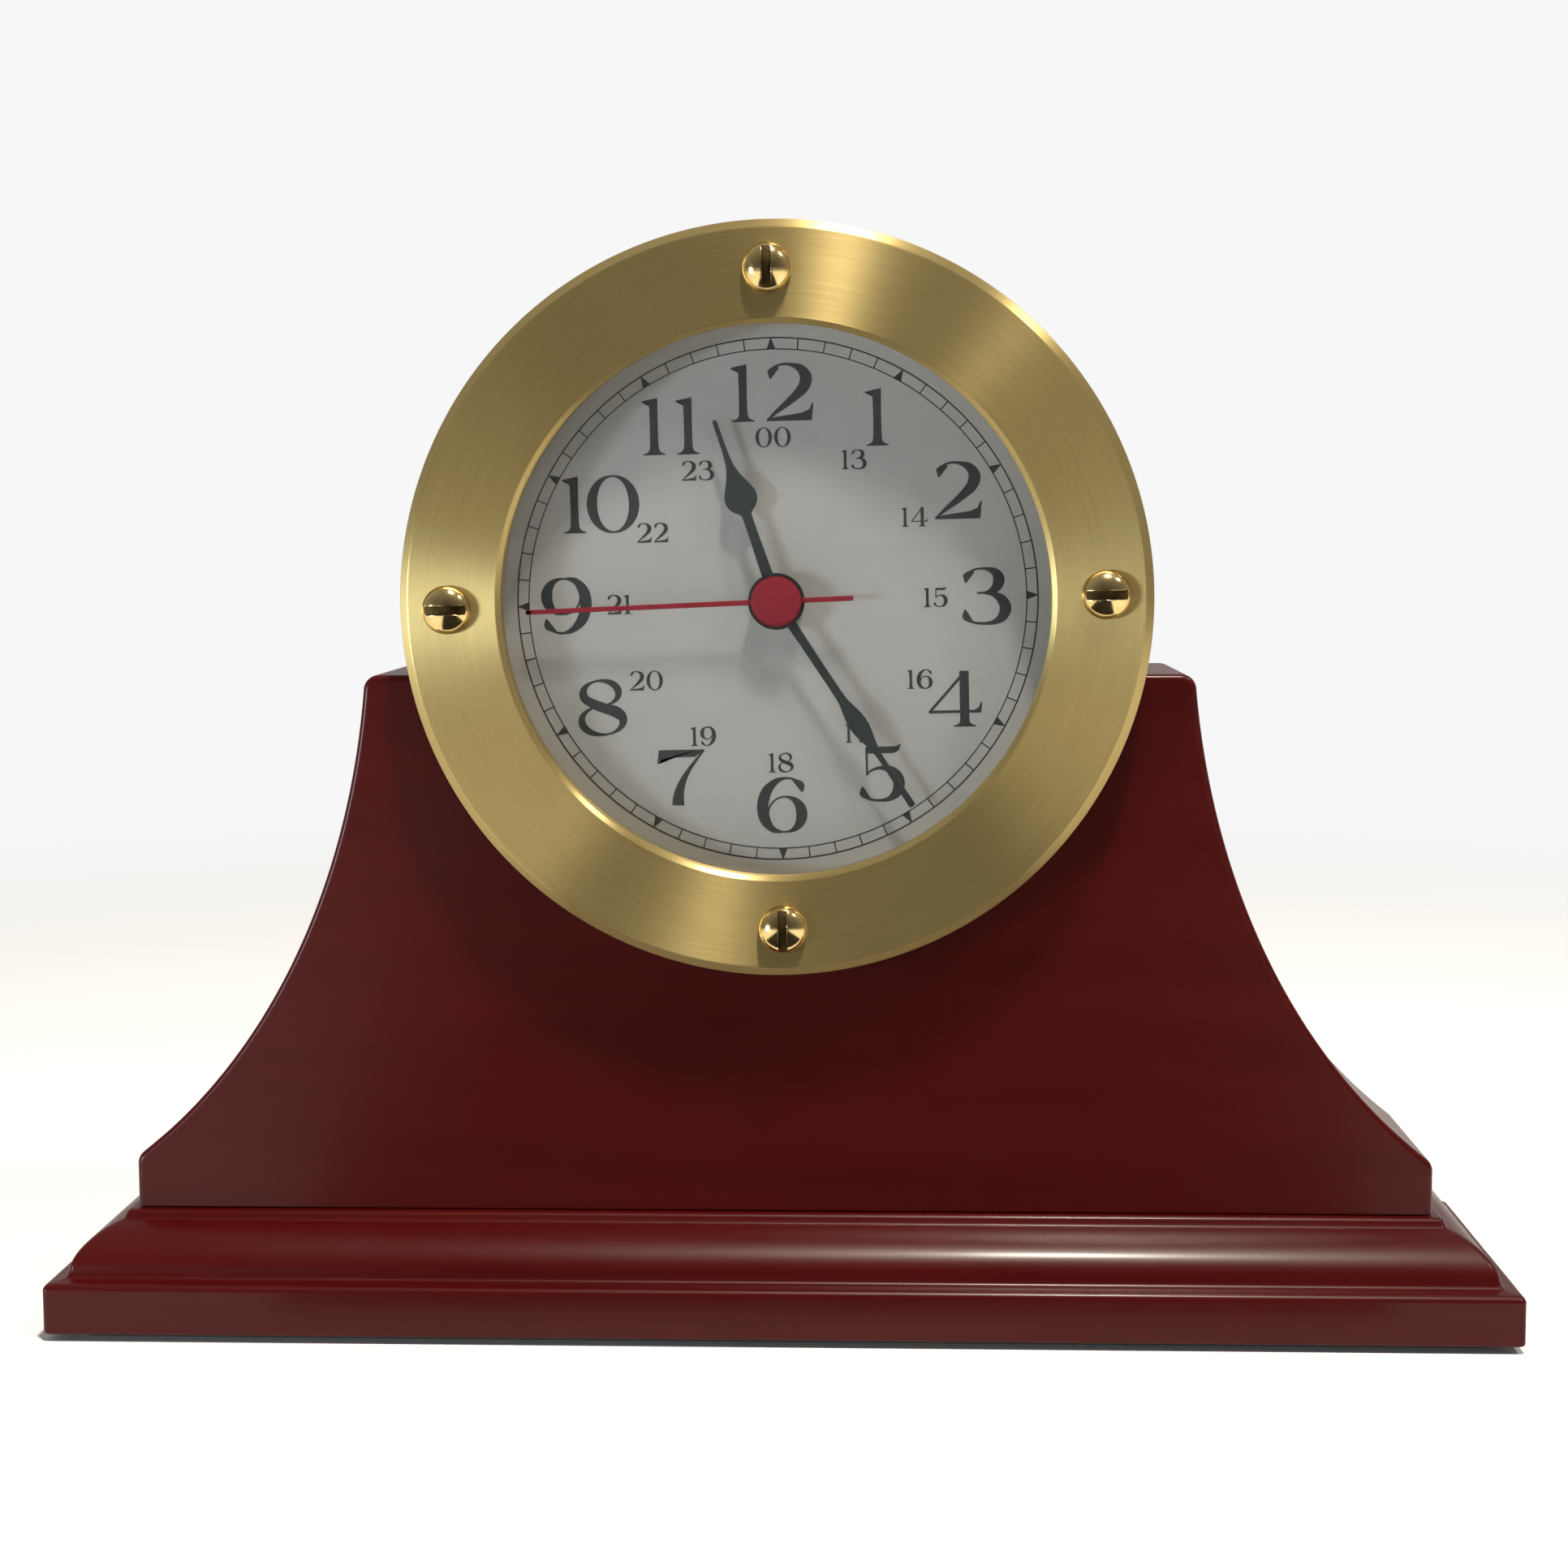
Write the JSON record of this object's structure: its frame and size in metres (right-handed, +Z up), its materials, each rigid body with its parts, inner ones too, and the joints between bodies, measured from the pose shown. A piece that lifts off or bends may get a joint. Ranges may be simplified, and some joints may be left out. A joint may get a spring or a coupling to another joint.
{
  "type": "ship's deck clock",
  "caption": "Porthole quartz clock in a brass case with a screwed bezel, seated in a flared wooden stand on a moulded plinth, with hour, minute and second hands.",
  "frame": {"origin": "centre of the stand's underside, at the bottom of the felt", "axes": "+X to the right as seen from the front, +Y from the dial to the back, +Z up"},
  "size_m": [0.299, 0.076, 0.2248],
  "materials": {
    "cherry_wood": "dark cherry stain under a satin lacquer",
    "felt": "thin green-black baize",
    "brushed_brass": "concentrically brushed and lacquered",
    "polished_brass": "polished",
    "glass": "clear flat glass",
    "rubber": "black, matte",
    "dial_silver": "silver-white satin print on an aluminium plate",
    "hand_black": "black, satin",
    "hand_red": "red, satin",
    "black_plastic": "moulded, fine matte",
    "wheel_plastic": "natural acetal",
    "steel": "bright steel",
    "copper_wire": "enamelled copper winding",
    "board_green": "green solder mask",
    "battery_skin": "plain grey and copper printed sleeve"
  },
  "bodies": {
    "clock_and_stand": {"base_felt": "felt", "base_plinth": "cherry_wood", "upright": "cherry_wood", "base_screw_1": "steel", "base_screw_2": "steel", "base_screw_3": "steel", "case_drum": "brushed_brass", "cradle_screw_1": "steel", "cradle_screw_2": "steel", "bezel": "brushed_brass", "bezel_screw_1": "polished_brass", "bezel_screw_2": "polished_brass", "bezel_screw_3": "polished_brass", "bezel_screw_4": "polished_brass", "glass": "glass", "glass_gasket": "rubber", "dial": "dial_silver", "dial_washer": "polished_brass", "hex_nut": "polished_brass", "rubber_washer": "rubber", "movement_case": "black_plastic", "threaded_bushing": "polished_brass", "rear_cover": "black_plastic", "aa_battery": "battery_skin", "battery_contact": "steel", "battery_spring": "steel", "stator": "steel", "coil": "copper_wire", "circuit_board": "board_green", "driver_chip": "black_plastic", "quartz_crystal": "steel"},
    "minute_group": {"centre_arbor": "polished_brass", "minute_hand": "hand_black"},
    "hour_group": {"hour_wheel": "wheel_plastic", "hour_hand": "hand_black"},
    "reverse_group": {"reverse_wheel": "wheel_plastic"},
    "knob_group": {"setting_knob": "black_plastic"},
    "seconds_group": {"seconds_wheel": "wheel_plastic", "second_hand": "hand_red", "second_hand_cap": "hand_red"},
    "third_group": {"third_wheel": "wheel_plastic"},
    "centre_group": {"centre_wheel": "polished_brass"},
    "intermediate_group": {"intermediate_wheel": "wheel_plastic"},
    "rotor_group": {"rotor": "steel"}
  },
  "joints": [
    {"name": "minute_turn", "type": "hinge", "parent": "clock_and_stand", "child": "minute_group", "pos_m": [0, -0.0122, 0.1498], "axis": [0, 1, 0], "continuous": true},
    {"name": "hour_turn", "type": "hinge", "parent": "clock_and_stand", "child": "hour_group", "pos_m": [0, -0.0122, 0.1498], "axis": [0, 1, 0], "continuous": true},
    {"name": "reverse_turn", "type": "hinge", "parent": "clock_and_stand", "child": "reverse_group", "pos_m": [0.00839, -0.0122, 0.15305], "axis": [0, 1, 0], "continuous": true},
    {"name": "knob_turn", "type": "hinge", "parent": "clock_and_stand", "child": "knob_group", "pos_m": [0.01773, -0.0122, 0.15161], "axis": [0, 1, 0], "continuous": true},
    {"name": "seconds_turn", "type": "hinge", "parent": "clock_and_stand", "child": "seconds_group", "pos_m": [0, -0.0122, 0.1498], "axis": [0, 1, 0], "continuous": true},
    {"name": "third_turn", "type": "hinge", "parent": "clock_and_stand", "child": "third_group", "pos_m": [-0.00789, -0.0122, 0.15414], "axis": [0, 1, 0], "continuous": true},
    {"name": "centre_turn", "type": "hinge", "parent": "clock_and_stand", "child": "centre_group", "pos_m": [0, -0.0122, 0.1498], "axis": [0, 1, 0], "continuous": true},
    {"name": "intermediate_turn", "type": "hinge", "parent": "clock_and_stand", "child": "intermediate_group", "pos_m": [0.0039, -0.0122, 0.1569], "axis": [0, 1, 0], "continuous": true},
    {"name": "rotor_turn", "type": "hinge", "parent": "clock_and_stand", "child": "rotor_group", "pos_m": [0.00761, -0.0122, 0.16365], "axis": [0, 1, 0], "continuous": true}
  ],
  "couplings": [
    {"joint": "hour_turn", "follows": "minute_turn", "ratio": 0.083333},
    {"joint": "reverse_turn", "follows": "minute_turn", "ratio": -0.33333},
    {"joint": "knob_turn", "follows": "minute_turn", "ratio": 0.83333},
    {"joint": "third_turn", "follows": "seconds_turn", "ratio": -0.13333},
    {"joint": "centre_turn", "follows": "seconds_turn", "ratio": 0.016667},
    {"joint": "intermediate_turn", "follows": "seconds_turn", "ratio": -5},
    {"joint": "rotor_turn", "follows": "seconds_turn", "ratio": 30}
  ]
}
